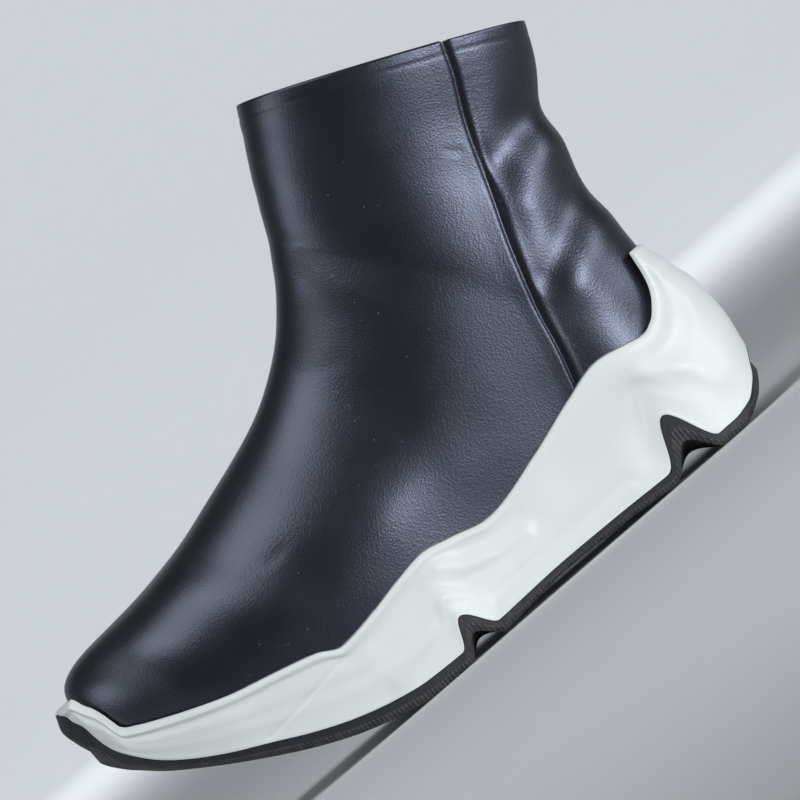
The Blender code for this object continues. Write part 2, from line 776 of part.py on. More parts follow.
def build_upper(form, collection):
    """Leather shell, its front panel one step proud of its back panel."""
    outer = skin(form, -OVERLAP, 0, CLEARANCE)
    inner = skin(form, -LEATHER - OVERLAP, -LEATHER - OVERLAP, CLEARANCE)
    mesh = bmesh.new()
    for side in (-1, 1):
        add_grid(mesh, outer[side], side > 0)
        add_grid(mesh, inner[side], side < 0)
        add_grid(mesh, [outer[side][0], inner[side][0]], side < 0)
        add_grid(mesh, [outer[side][-1], inner[side][-1]], side > 0)
        foot_out = outer[side][:FOOT_SECTIONS, 0]
        foot_in = inner[side][:FOOT_SECTIONS, 0]
        add_grid(mesh, [foot_out, foot_in], side > 0)
    leather = make_material("black_leather", (0.012, 0.012, 0.014), 0.38)
    return finish_mesh(mesh, "upper", collection, leather)


def build_insole(form, collection):
    """Thin board with a sock, just inside the upper's wall on the bed."""
    depth = LEATHER + OVERLAP + INSOLE_EASE
    inner = skin(form, -depth, -depth, CLEARANCE)
    mesh = bmesh.new()
    loops = {}
    for side in (-1, 1):
        edge = np.concatenate([inner[side][0][::-1], inner[side][1:FOOT_SECTIONS, 0]])
        low = edge.copy()
        low[:, 2] = bed(along(low[:, 0])) + CLEARANCE
        high = low.copy()
        high[:, 2] += INSOLE_THICKNESS
        loops[side] = (low, high)
        add_grid(mesh, [low, high], side > 0)
    add_grid(mesh, [loops[-1][0], loops[1][0]], True)
    add_grid(mesh, [loops[-1][1], loops[1][1]], False)
    sock = make_material("grey_sock", (0.05, 0.05, 0.055), 0.85)
    return finish_mesh(mesh, "insole", collection, sock)


def main():
    for item in list(bpy.data.objects):
        bpy.data.objects.remove(item)
    shoe = bpy.data.collections.new("high_sneaker")
    guides = bpy.data.collections.new("cutters")
    bpy.context.scene.collection.children.link(shoe)
    bpy.context.scene.collection.children.link(guides)
    rows, grids, normals = upper_base()
    level_edges(rows, grids, normals)
    fold_back(grids, normals)
    form = (rows, grids, normals)
    shoe_form = build_form("shoe_form", form, CUP_EASE - OVERLAP, CUP_EASE, guides)
    build_upper(form, shoe)
    build_midsole(shoe, shoe_form)
    build_outsole(shoe)
    build_insole(form, shoe)


main()
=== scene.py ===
import math

import bpy
import numpy as np
from mathutils import Matrix, Vector


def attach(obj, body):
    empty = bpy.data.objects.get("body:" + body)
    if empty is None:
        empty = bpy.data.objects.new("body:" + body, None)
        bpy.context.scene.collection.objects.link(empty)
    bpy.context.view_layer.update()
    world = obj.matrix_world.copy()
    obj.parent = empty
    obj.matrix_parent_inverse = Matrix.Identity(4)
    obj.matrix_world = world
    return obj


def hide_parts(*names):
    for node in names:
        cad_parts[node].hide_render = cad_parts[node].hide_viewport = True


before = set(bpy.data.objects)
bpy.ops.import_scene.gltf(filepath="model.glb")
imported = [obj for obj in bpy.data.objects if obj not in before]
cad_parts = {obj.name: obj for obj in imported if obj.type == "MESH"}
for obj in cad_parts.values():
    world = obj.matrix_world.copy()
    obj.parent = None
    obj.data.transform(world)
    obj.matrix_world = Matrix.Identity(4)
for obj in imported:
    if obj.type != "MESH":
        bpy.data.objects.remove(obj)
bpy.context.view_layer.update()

# Camera. The shoe was hung toe down and shot square to its outer side with a long lens, so the
# camera stands far off, level with the ankle, and is rolled until the heel rises to the right.
SHOT_CENTRE = Vector((0.0236, 0.0, 0.0861))
SHOT_DISTANCE = 2.4
SHOT_WIDTH = 0.284
SHOT_AZIMUTH = 0.0
SHOT_ROLL = 40.7

lens = bpy.data.cameras.new("shot_lens")
lens.sensor_width = 36
lens.lens = 36 * SHOT_DISTANCE / SHOT_WIDTH
shot = bpy.data.objects.new("shot", lens)
bpy.context.scene.collection.objects.link(shot)
turn = math.radians(SHOT_AZIMUTH)
toward = Vector((math.sin(turn), math.cos(turn), 0))
shot.location = SHOT_CENTRE - SHOT_DISTANCE * toward
shot.rotation_mode = "QUATERNION"
level = toward.to_track_quat("-Z", "Y")
shot.rotation_quaternion = level @ Matrix.Rotation(math.radians(-SHOT_ROLL), 3, "Z").to_quaternion()
bpy.context.scene.camera = shot


# Leather upper. Smooth black calf over a thin lining, lasted round the foot form: a front panel
# whose folded edge laps over the back panel along one seam, turned in at the collar.
SOLE_LENGTH = 0.2762
SOLE_WIDTH = 0.103
SOLE_HEIGHT = 0.0728
FRONT_RISE = 0.1207
BACK_RISE = 0.0859
COLLAR_WIDTH = 0.070
TOE_TURN = 0.006
SIDE_MARGIN = 0.0058
HEEL_MARGIN = 0.0080
TOE_MARGIN = 0.0080
LEATHER = 0.0018
OVERLAP = 0.0010
WAIST_BULGE = 0.0025
HEEL_BULGE = 0.0052

# Half widths of the sole: along, outer side, inner side
PLAN = [
    (0.00, 0.67, 0.76),
    (0.10, 0.79, 0.86),
    (0.20, 0.92, 0.95),
    (0.30, 0.985, 0.99),
    (0.37, 1.00, 0.96),
    (0.46, 0.96, 0.86),
    (0.56, 0.86, 0.745),
    (0.66, 0.79, 0.70),
    (0.76, 0.77, 0.715),
    (0.86, 0.77, 0.74),
    (0.94, 0.76, 0.75),
    (1.00, 0.75, 0.75),
]

# Top edge of the midsole and the bed inside it: along, height, as shares of the sole
LIP = [
    (0.000, 1.127),
    (0.028, 1.122),
    (0.037, 1.059),
    (0.044, 1.020),
    (0.051, 0.951),
    (0.057, 0.868),
    (0.076, 0.824),
    (0.102, 0.780),
    (0.140, 0.722),
    (0.204, 0.639),
    (0.269, 0.578),
    (0.320, 0.524),
    (0.351, 0.470),
    (0.410, 0.498),
    (0.461, 0.537),
    (0.506, 0.559),
    (0.545, 0.527),
    (0.598, 0.478),
    (0.693, 0.561),
    (0.770, 0.654),
    (0.828, 0.707),
    (0.873, 0.678),
    (0.901, 0.659),
    (0.924, 0.683),
    (0.943, 0.737),
    (0.960, 0.815),
    (0.968, 0.900),
    (0.974, 1.000),
    (1.000, 1.000),
]
BED = [
    (0.036, 0.839),
    (0.091, 0.649),
    (0.153, 0.537),
    (0.204, 0.463),
    (0.269, 0.390),
    (0.333, 0.341),
    (0.397, 0.322),
    (0.461, 0.317),
    (0.526, 0.322),
    (0.590, 0.337),
    (0.654, 0.366),
    (0.719, 0.400),
    (0.783, 0.439),
    (0.847, 0.473),
    (0.911, 0.493),
    (0.964, 0.507),
]

# Sections of the foot: front line's place and rise, place on the bed, half width, where it is
# widest, fullness of the crown
FOOT = [
    (0.036, -0.292, 0.091, 0.00, 0.10, 2.00),
    (0.0285, -0.133, 0.096, 0.00, 0.12, 2.00),
    (0.031, 0.012, 0.105, 0.00, 0.16, 2.05),
    (0.050, 0.056, 0.121, 0.00, 0.20, 2.15),
    (0.086, 0.078, 0.143, 0.00, 0.22, 2.25),
    (0.134, 0.086, 0.171, 0.78, 0.24, 2.25),
    (0.192, 0.097, 0.207, 0.82, 0.25, 2.15),
    (0.256, 0.122, 0.256, 0.86, 0.25, 2.05),
    (0.326, 0.171, 0.317, 0.88, 0.25, 1.95),
    (0.397, 0.222, 0.391, 0.86, 0.26, 1.88),
    (0.455, 0.274, 0.468, 0.79, 0.30, 1.85),
    (0.500, 0.337, 0.558, 0.735, 0.36, 1.85),
    (0.536, 0.401, 0.648, 0.71, 0.40, 1.88),
    (0.564, 0.471, 0.731, 0.70, 0.42, 1.92),
    (0.584, 0.529, 0.798, 0.69, 0.44, 1.95),
    (0.596, 0.574, 0.853, 0.685, 0.46, 2.00),
    (0.605, 0.606, 0.905, 0.68, 0.47, 2.00),
    (0.612, 0.632, 0.942, 0.675, 0.48, 2.00),
    (0.616, 0.650, 0.964, 0.675, 0.48, 2.00),
]

# Rings of the shaft: front line's place and rise, back line's place and rise, half width
SHAFT = [
    (0.6205, 0.672, 0.9700, -0.270, 0.99),
    (0.626, 0.700, 0.9715, -0.124, 0.98),
    (0.631, 0.724, 0.9724, 0.012, 0.97),
    (0.637, 0.750, 0.9724, 0.145, 0.96),
    (0.6425, 0.776, 0.9720, 0.260, 0.955),
    (0.648, 0.803, 0.9736, 0.360, 0.95),
    (0.654, 0.829, 0.9806, 0.446, 0.95),
    (0.660, 0.854, 0.9866, 0.537, 0.955),
    (0.666, 0.879, 0.9906, 0.624, 0.96),
    (0.672, 0.903, 1.002, 0.711, 0.97),
    (0.678, 0.926, 1.017, 0.789, 0.98),
    (0.683, 0.953, 1.031, 0.860, 0.99),
    (0.690, 0.978, 1.042, 0.934, 1.00),
    (0.695, 1.000, 1.051, 1.000, 1.00),
]

# Seam from the collar down: along, height as a share of the collar's height
SEAM = [
    (0.946, 0.842),
    (0.931, 0.788),
    (0.911, 0.736),
    (0.891, 0.671),
    (0.871, 0.595),
    (0.852, 0.534),
    (0.832, 0.460),
    (0.815, 0.385),
    (0.804, 0.310),
    (0.786, 0.235),
    (0.775, 0.150),
]

TOE_X = -0.5 * (SHAFT[-1][2] * SOLE_LENGTH - OVERLAP)
TOE_GUARD = LIP[0][1] * SOLE_HEIGHT
COLLAR_Z = TOE_GUARD + FRONT_RISE


def smooth(rows, column, x):
    """Value of a table's column at x, by a cubic that never overshoots its rows."""
    xs = np.array([row[0] for row in rows], float)
    ys = np.array([row[column] for row in rows], float)
    step = np.diff(xs)
    slope = np.diff(ys) / step
    tangent = np.zeros(len(xs))
    tangent[0] = slope[0]
    tangent[-1] = slope[-1]
    for k in range(1, len(xs) - 1):
        if slope[k - 1] * slope[k] > 0:
            before = 2 * step[k] + step[k - 1]
            after = step[k] + 2 * step[k - 1]
            tangent[k] = (before + after) / (before / slope[k - 1] + after / slope[k])
    x = np.clip(x, xs[0], xs[-1])
    k = np.clip(np.searchsorted(xs, x) - 1, 0, len(step) - 1)
    t = (x - xs[k]) / step[k]
    h = step[k]
    value = (2 * t**3 - 3 * t**2 + 1) * ys[k] + (t**3 - 2 * t**2 + t) * h * tangent[k]
    return value + (3 * t**2 - 2 * t**3) * ys[k + 1] + (t**3 - t**2) * h * tangent[k + 1]


def along(x):
    """Share of the sole's length at a place on X."""
    return (x - TOE_X) / SOLE_LENGTH


def place(share):
    """Place on X of a share of the sole's length."""
    return TOE_X + share * SOLE_LENGTH


def centre(share):
    """Middle line of the shoe: its toe turns toward the inner side."""
    return TOE_TURN * np.clip(1 - np.asarray(share, float) / 0.40, 0, 1)**2


def round_end(distance, length, fullness):
    """Factor that closes an outline over its round end."""
    left = 1 - np.clip(distance / length, 0, 1)
    return (1 - left**fullness)**(1 / fullness)


def heel_share(share):
    """How far a place lies into the heel."""
    return np.clip((share - 0.70) / 0.20, 0, 1)


def bed_half(share, side):
    """Half width of the bed, before its ends are rounded."""
    wide = smooth(PLAN, 1 if side < 0 else 2, share) * SOLE_WIDTH / 2
    return wide - SIDE_MARGIN - (HEEL_MARGIN - SIDE_MARGIN) * heel_share(share)


def upper_half(share, side):
    """Half width of the upper where it stands on the bed."""
    toe = round_end(share - 0.036, 0.20, 2.1)
    return bed_half(share, side) * toe * round_end(0.964 - share, 0.13, 2.2)


def bed(share):
    """Height of the bed inside the midsole."""
    return smooth(BED, 1, share) * SOLE_HEIGHT


FOOT_ROWS = 104
SHAFT_ROWS = 66
BACK_CELLS = 34
FRONT_CELLS = 66
LAST_FOOT = len(FOOT) - 1


def section_rows():
    """Every section's front end, foot, half widths on both sides, widest place and crown."""
    ticks = [(k,) + row for k, row in enumerate(FOOT)]
    rings = [(LAST_FOOT + 1 + k,) + row for k, row in enumerate(SHAFT)]
    first = rings[0]
    joint = [float(smooth(ticks, c, LAST_FOOT)) for c in range(1, 7)]
    start_z = bed(joint[2])
    fronts = [(t[0], place(t[1]), TOE_GUARD + t[2] * (FRONT_RISE if t[2] > 0 else SOLE_HEIGHT))
              for t in ticks]
    fronts += [(r[0], place(r[1]), TOE_GUARD + r[2] * FRONT_RISE) for r in rings]
    backs = [(LAST_FOOT, place(joint[2]), start_z)]
    backs += [(r[0], place(r[3]), SOLE_HEIGHT + r[4] * BACK_RISE) for r in rings]
    halves = [(LAST_FOOT, joint[3] * SOLE_WIDTH / 2)]
    halves += [(r[0], r[5] * COLLAR_WIDTH / 2) for r in rings]
    foot_at = np.linspace(0, LAST_FOOT, FOOT_ROWS)
    top = LAST_FOOT + len(SHAFT)
    step = np.linspace(0, 1, SHAFT_ROWS + 1)[1:]
    shaft_at = LAST_FOOT + (top - LAST_FOOT) * (1.16 * step - 0.16 * step**4)
    rows = []
    for t in np.concatenate([foot_at, np.minimum(shaft_at, top)]):
        front = (smooth(fronts, 1, t), smooth(fronts, 2, t))
        if t <= LAST_FOOT:
            foot, wide, widest, crown = [float(smooth(ticks, c, t)) for c in (3, 4, 5, 6)]
            back = (place(foot), bed(foot))
            sides = []
            for side in (-1, 1):
                base = float(upper_half(foot, side))
                bulge = WAIST_BULGE + (HEEL_BULGE - WAIST_BULGE) * heel_share(foot)
                half = min(wide * SOLE_WIDTH / 2, bed_half(foot, side) + bulge)
                sides.append((base, max(half, 1.025 * base)))
        else:
            back = (smooth(backs, 1, t), smooth(backs, 2, t))
            sides = [(0.0, float(smooth(halves, 1, t)))] * 2
            widest, crown = 0.48, 2.05
        rows.append((np.array(front, float), np.array(back, float), sides, widest, crown))
    return rows


seam_z = np.linspace(SEAM[-1][1], SEAM[0][1], 160)
seam_line = np.stack([place(smooth([(z, x) for x, z in SEAM[::-1]], 1, seam_z)), seam_z * COLLAR_Z], 1)


def seam_share(front, foot):
    """Share of a section, from its foot, at which it meets the seam."""
    run = front - foot
    gap = seam_line - foot
    side = run[0] * gap[:, 1] - run[1] * gap[:, 0]
    cross = np.nonzero(side[:-1] * side[1:] <= 0)[0]
    if not len(cross):
        near = seam_line[0] if abs(side[0]) < abs(side[-1]) else seam_line[-1]
        return float(np.clip((near - foot) @ run / run.dot(run), 0, 1))
    k = cross[-1]
    part = side[k] / (side[k] - side[k + 1])
    meet = seam_line[k] * (1 - part) + seam_line[k + 1] * part
    return float(np.clip((meet - foot) @ run / run.dot(run), 0, 1))


def section(row, side):
    """Points of one section on one side, and how far each lies past the seam."""
    front, foot, halves, widest, crown = row
    base, half = halves[0 if side < 0 else 1]
    angle = np.linspace(math.asin(min(base / half, 0.999)), math.pi / 2, 240)
    low = widest * (1 - np.cos(angle) / math.cos(angle[0]))
    open_foot = base / half
    full = 2 / 2.25 + (1 - 2 / 2.25) * open_foot
    lift = np.clip((np.sin(angle) - open_foot) / (1 - open_foot), 0, 1)
    wide = half * (open_foot + (1 - open_foot) * lift**full)
    bend = np.linspace(0, math.pi / 2, 240)[1:]
    high = widest + (1 - widest) * np.sin(bend)**(2 / crown)
    narrow = half * np.maximum(np.cos(bend), 0)**(2 / crown)
    shares, wide = np.concatenate([low, high]), np.concatenate([wide, narrow])
    run = front - foot
    length = np.concatenate([[0], np.cumsum(np.hypot(np.diff(shares) * np.hypot(*run), np.diff(wide)))])
    met = np.interp(seam_share(front, foot) if along(foot[0]) > 0.775 else 0, shares, length)
    back = met * (1 - (1 - np.linspace(0, 1, BACK_CELLS + 1))**1.6)
    ahead = met + (length[-1] - met) * np.linspace(0, 1, FRONT_CELLS + 1)[1:]**1.5
    marks = np.concatenate([back, ahead])
    at = np.interp(marks, length, shares)
    x = foot[0] + at * run[0]
    width = np.interp(marks, length, wide)
    width[-1] = 0
    if base == 0:
        width[0] = 0
    points = np.column_stack([x, centre(along(x)) + side * width, foot[1] + at * run[1]])
    return points, marks - met if met > 0 else marks + 0.02


def form_grid():
    """The upper's face as rings from the outer side's foot, over the front, to the inner side's."""
    rows = section_rows()
    grid, past = [], []
    for row in rows:
        left, left_past = section(row, -1)
        right, right_past = section(row, 1)
        grid.append(np.concatenate([left, right[-2::-1]]))
        past.append(np.concatenate([left_past, right_past[-2::-1]]))
    grid = np.array(grid)
    for _ in range(10):
        grid[1:-1] += 0.25 * (grid[2:] + grid[:-2] - 2 * grid[1:-1])
    return grid, np.array(past)


def outward(grid):
    """Directions out of a grid of rings, from the faces round each point."""
    across = grid[1:, 1:] - grid[:-1, :-1]
    other = grid[1:, :-1] - grid[:-1, 1:]
    face = np.cross(across, other)
    total = np.zeros_like(grid)
    for a in (slice(None, -1), slice(1, None)):
        for b in (slice(None, -1), slice(1, None)):
            total[a, b] += face
    together = total[FOOT_ROWS:, 0] + total[FOOT_ROWS:, -1]
    total[FOOT_ROWS:, 0] = together
    total[FOOT_ROWS:, -1] = together
    size = np.linalg.norm(total, axis=2)
    for k in range(len(grid)):
        weak = size[k] < 1e-12
        if weak.any():
            firm = np.nonzero(~weak)[0]
            total[k, weak] = total[k, firm[np.abs(np.nonzero(weak)[0][:, None] - firm).argmin(1)]]
    total /= np.linalg.norm(total, axis=2)[..., None]
    return total


# Folded edge of the front panel over the back panel: distance past the seam and height, in mm
SEAM_STEP = [
    (-60.0, -0.90),
    (-7.0, -0.90),
    (-4.4, -0.70),
    (-3.2, -0.82),
    (-2.2, -1.35),
    (-1.4, -1.80),
    (-0.55, -1.92),
    (-0.15, -1.60),
    (0.0, -0.80),
    (0.25, -0.22),
    (0.7, 0.06),
    (1.5, 0.18),
    (3.0, 0.12),
    (7.0, 0.00),
    (200.0, 0.00),
]

# Turned edge at the collar: distance below the edge and height, in mm
COLLAR_STEP = [
    (0.0, 0.05),
    (3.0, 0.08),
    (3.9, 0.02),
    (4.4, -0.16),
    (4.9, -0.04),
    (6.0, 0.00),
    (300.0, 0.00),
]

# Creases and folds seen from the side, in mm: height, reach, whether the fold stays on the back
# panel, and the points of its line
CREASES = [
    (-1.6, 7.5, 1, (108, 128), (118, 131), (127, 134)),
    (1.3, 8.0, 1, (104, 111), (113, 115), (125, 120)),
    (-1.2, 6.0, 1, (93, 85), (104, 91.5), (117, 99)),
    (0.6, 6.0, 1, (98, 77), (122, 88)),
    (-0.14, 0.9, 0, (92.8, 142), (97.2, 138.2)),
    (0.8, 11.0, 0, (-80, 84), (-58, 60)),
    (-0.6, 9.0, 0, (-62, 88), (-40, 62)),
    (-0.22, 1.5, 0, (-55, 76), (-48, 73), (-41, 73.5)),
    (-0.20, 1.4, 0, (2, 118), (10, 112), (17, 110)),
    (0.5, 9.0, 0, (-100, 78), (-92, 70)),
    (1.0, 15.0, 0, (-4, 58), (20, 57)),
    (-0.9, 16.0, 0, (-10, 92), (16, 90)),
]


def side_push(points, rows, back_only):
    """Sum of soft ridges and troughs at places seen from the side, in metres."""
    push = np.zeros(points.shape[:2])
    seen = points[..., [0, 2]] * 1000
    for tall, reach, kind, *line in rows:
        away = np.full(push.shape, 1e9)
        for start, end in zip(line, line[1:]):
            run = np.subtract(end, start)
            near = np.clip((seen - start) @ run / run.dot(run), 0, 1)
            away = np.minimum(away, np.linalg.norm(seen - start - near[..., None] * run, axis=-1))
        push += tall / 1000 * np.exp(-(away / reach)**2) * (back_only if kind else 1)
    return push


def deselect():
    """Leaves edit mode with nothing selected."""
    if bpy.context.object and bpy.context.object.mode == "EDIT":
        bpy.ops.object.mode_set(mode="OBJECT")
    bpy.ops.object.select_all(action="DESELECT")


def sheet(name, grid):
    """A grid primitive drawn to the given rings of points."""
    deselect()
    rows, columns = grid.shape[:2]
    bpy.ops.mesh.primitive_grid_add(x_subdivisions=columns - 1, y_subdivisions=rows - 1, size=1)
    piece = bpy.context.object
    piece.name = name
    piece.data.name = name
    piece.data.vertices.foreach_set("co", grid.astype(np.float32).ravel())
    piece.data.update()
    return piece


def merge_points(piece, bridge=False):
    """Merges a piece's shared points and, where asked, closes it between its open edges."""
    deselect()
    piece.select_set(True)
    bpy.context.view_layer.objects.active = piece
    bpy.ops.object.mode_set(mode="EDIT")
    bpy.ops.mesh.select_all(action="SELECT")
    bpy.ops.mesh.remove_doubles(threshold=4e-6)
    bpy.ops.mesh.dissolve_degenerate(threshold=2e-6)
    if bridge:
        bpy.ops.mesh.select_mode(type="EDGE")
        bpy.ops.mesh.select_all(action="DESELECT")
        bpy.ops.mesh.select_non_manifold(extend=False, use_wire=False, use_multi_face=False,
                                         use_non_contiguous=False, use_verts=False)
        bpy.ops.mesh.bridge_edge_loops()
        bpy.ops.mesh.select_all(action="SELECT")
        bpy.ops.mesh.flip_normals()
    bpy.ops.mesh.select_all(action="DESELECT")
    bpy.ops.object.mode_set(mode="OBJECT")


form, past_seam = form_grid()
facing = outward(form)
if (facing[40, 50] * (form[40, 50] - form[40].mean(0))).sum() < 0:
    facing = -facing
collar_run = form[-1, 0] - form[-1, BACK_CELLS + FRONT_CELLS]
collar_up = np.cross(collar_run, (0, 1, 0))
collar_up /= np.linalg.norm(collar_up) * (1 if collar_up[2] > 0 else -1)
below_collar = (form[-1, 0] - form) @ collar_up * 1000
seamed = np.array(past_seam) * 1000
height = np.interp(seamed, *zip(*SEAM_STEP)) + np.interp(below_collar, *zip(*COLLAR_STEP))
on_back = 1 / (1 + np.exp((seamed + 1.5) / 1.0))
seam_gap = np.linalg.norm(form[:, :, None, [0, 2]] - seam_line[::4], axis=3).min(2) * 1000
behind = form[..., 0] > np.interp(form[..., 2], seam_line[:, 1], seam_line[:, 0])
seam_dip = np.exp(-(seam_gap / np.where(behind, 15, 26))**2)
folds = side_push(form, CREASES, on_back) - 0.0030 * seam_dip
outer_face = form + facing * (height / 1000 + folds)[..., None]
inner_face = form + facing * (folds - LEATHER - OVERLAP)[..., None]
for face in (outer_face, inner_face):
    foot_edge = [face[0], face[:FOOT_ROWS, 0], face[:FOOT_ROWS, -1]]
    for edge in foot_edge:
        edge[:, 2] = np.maximum(edge[:, 2], bed(along(edge[:, 0])) + 0.0003)
    face[-1] -= ((face[-1] - form[-1]) @ collar_up)[:, None] * collar_up
rim = []
middle = (outer_face[-1] + inner_face[-1]) / 2
arm = (outer_face[-1] - inner_face[-1]) / 2
for angle in (35, 65, 90, 115, 145):
    c, s = math.cos(math.radians(angle)), math.sin(math.radians(angle))
    rim.append(middle + arm * c + 0.45 * np.linalg.norm(arm, axis=1)[:, None] * s * collar_up)
sleeve = np.concatenate([outer_face, rim, inner_face[::-1]])
leather = sheet("leather_upper", sleeve)
rows_out = len(outer_face) + len(rim) + 5
faces_in_row = sleeve.shape[1] - 1
inside = np.zeros(len(leather.data.polygons), np.int32)
inside[rows_out * faces_in_row:] = 1
leather.data.polygons.foreach_set("material_index", inside)
merge_points(leather, bridge=True)


def rgb(code):
    """A hex colour as linear values."""
    parts = [int(code[k:k + 2], 16) / 255 for k in (1, 3, 5)]
    return [c / 12.92 if c <= 0.04045 else ((c + 0.055) / 1.055)**2.4 for c in parts] + [1]


def new_material(name, **sockets):
    """A material with values set on its shader's own sockets."""
    material = bpy.data.materials.new(name)
    material.use_nodes = True
    shader = material.node_tree.nodes["Principled BSDF"]
    for socket, value in sockets.items():
        shader.inputs[socket.replace("_", " ")].default_value = value
    return material, shader


def node(material, kind, links=(), values=(), **settings):
    """Adds one node with its settings, its values and what feeds it."""
    made = material.node_tree.nodes.new("ShaderNode" + kind)
    for key, value in settings.items():
        setattr(made, key, value)
    for socket, value in dict(values).items():
        made.inputs[socket].default_value = value
    for socket, source in dict(links).items():
        material.node_tree.links.new(source, made.inputs[socket])
    return made


# Calf leather, aniline dyed and lightly polished: near black, with a tight pebbled grain that
# breaks up a soft bluish gloss.
calf, calf_shader = new_material(
    "polished_black_calf", Base_Color=rgb("#111011"), Roughness=0.35, IOR=1.5,
    Specular_IOR_Level=1.0, Specular_Tint=rgb("#d8e2ff"), Coat_Weight=0.05, Coat_Roughness=0.3)
where = node(calf, "TexCoord").outputs["Object"]
GRAIN = 0.0008
pebbles = node(calf, "TexVoronoi", {"Vector": where}, {"Scale": 1 / GRAIN}, feature="F1")
pores = node(calf, "TexNoise", {"Vector": where}, {"Scale": 2 / GRAIN, "Detail": 3})
grain = node(calf, "Math", {0: pebbles.outputs["Distance"], 1: pores.outputs["Fac"]}, operation="ADD")
relief = node(calf, "Bump", {"Height": grain.outputs[0]}, {"Strength": 0.32, "Distance": 0.00014})
calf.node_tree.links.new(relief.outputs["Normal"], calf_shader.inputs["Normal"])
patches = node(calf, "TexNoise", {"Vector": where}, {"Scale": 60, "Detail": 4})
gloss = node(calf, "MapRange", {"Value": patches.outputs["Fac"]}, {"To Min": 0.29, "To Max": 0.40})
calf.node_tree.links.new(gloss.outputs[0], calf_shader.inputs["Roughness"])

# A few specks of dust lie on the polish.
specks = node(calf, "TexVoronoi", {"Vector": where}, {"Scale": 170}, feature="F1")
dust_on = node(calf, "MapRange", {"Value": specks.outputs["Distance"]},
               {"From Min": 0.055, "From Max": 0.035, "To Max": 0.55})
dyed = node(calf, "Mix", {"Factor": patches.outputs["Fac"]},
            {"A": rgb("#0f0e10"), "B": rgb("#161517")}, data_type="RGBA")
dusted = node(calf, "Mix", {"Factor": dust_on.outputs[0], "A": dyed.outputs["Result"]},
              {"B": rgb("#80858c")}, data_type="RGBA")
calf.node_tree.links.new(dusted.outputs["Result"], calf_shader.inputs["Base Color"])

# Pigskin lining, undyed gloss off: dull, with pores about 1.2 mm apart.
lining, lining_shader = new_material("black_pigskin_lining", Base_Color=rgb("#232325"), Roughness=0.7)
PORE = 0.0012
skin_at = node(lining, "TexCoord").outputs["Object"]
pore = node(lining, "TexVoronoi", {"Vector": skin_at}, {"Scale": 1 / PORE}, feature="F1")
hide = node(lining, "TexNoise", {"Vector": skin_at}, {"Scale": 90, "Detail": 4})
hide_tone = node(lining, "Mix", {"Factor": hide.outputs["Fac"]},
                 {"A": rgb("#1c1c1e"), "B": rgb("#2b2b2e")}, data_type="RGBA")
lining.node_tree.links.new(hide_tone.outputs["Result"], lining_shader.inputs["Base Color"])
hide_relief = node(lining, "Bump", {"Height": pore.outputs["Distance"]},
                   {"Strength": 0.5, "Distance": 0.0002})
lining.node_tree.links.new(hide_relief.outputs["Normal"], lining_shader.inputs["Normal"])

leather.data.materials.append(calf)
leather.data.materials.append(lining)
deselect()
leather.select_set(True)
bpy.context.view_layer.objects.active = leather
bpy.ops.object.shade_smooth()
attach(leather, "root")
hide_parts("upper")

# Midsole. One moulding of light foam with a satin skin, cupped round the foot, its side sculpted
# into three pods under a rounded lip.
FLARE = 0.003
RUBBER = 0.0045
RUBBER_RIM = 0.0030
RIM_STEP = 0.0015
CLEARANCE = 0.0003

# Side of the sole: along, underside, edge of the rubber, as shares of the sole's height
SIDE = [
    (0.000, 0.951, 1.110),
    (0.008, 0.829, 1.102),
    (0.018, 0.765, 1.034),
    (0.028, 0.722, 0.966),
    (0.033, 0.702, 0.854),
    (0.040, 0.676, 0.790),
    (0.050, 0.644, 0.737),
    (0.076, 0.561, 0.629),
    (0.102, 0.493, 0.551),
    (0.153, 0.373, 0.434),
    (0.204, 0.263, 0.339),
    (0.256, 0.163, 0.241),
    (0.307, 0.085, 0.163),
    (0.359, 0.030, 0.107),
    (0.407, 0.000, 0.076),
    (0.468, 0.000, 0.068),
    (0.535, 0.018, 0.073),
    (0.629, 0.043, 0.083),
    (0.719, 0.034, 0.078),
    (0.798, 0.012, 0.068),
    (0.884, 0.000, 0.060),
    (0.916, 0.000, 0.060),
    (0.937, 0.024, 0.073),
    (0.950, 0.051, 0.088),
    (0.963, 0.083, 0.122),
    (0.976, 0.137, 0.166),
    (0.985, 0.185, 0.215),
    (1.000, 0.300, 0.290),
]

# Notches between the pods: place, reach toward toe and heel, sharpness toward toe and heel,
# depth of the underside and of the rubber's edge
NOTCHES = [
    (0.488, 0.027, 0.037, 2.4, 2.0, 0.107, 0.141),
    (0.847, 0.048, 0.042, 3.2, 2.0, 0.141, 0.239),
]

# How far the wall stands in from the outline, as shares of the flare: along, underside, rubber's
# middle and edge, three levels of the midsole, and the lip
WALL = [
    (0.00, 1.07, 0.00, 0.70, 0.77, 0.83, 0.93, 1.07),
    (0.03, 0.85, 0.10, 0.33, 0.27, 0.27, 0.50, 1.00),
    (0.08, 0.55, 0.10, 0.13, 0.20, 0.33, 0.60, 0.93),
    (0.30, 0.33, 0.00, 0.00, 0.27, 0.60, 0.80, 0.87),
    (0.46, 0.33, 0.00, 0.00, 0.20, 0.63, 0.87, 0.87),
    (0.62, 0.33, 0.07, 0.07, 0.40, 0.93, 1.00, 0.93),
    (0.80, 0.33, 0.07, 0.07, 0.27, 0.60, 0.87, 1.07),
    (0.92, 0.53, 0.20, 0.20, 0.13, 0.20, 0.67, 1.50),
    (1.00, 1.60, 1.10, 0.75, 0.03, 0.20, 1.27, 2.10),
]


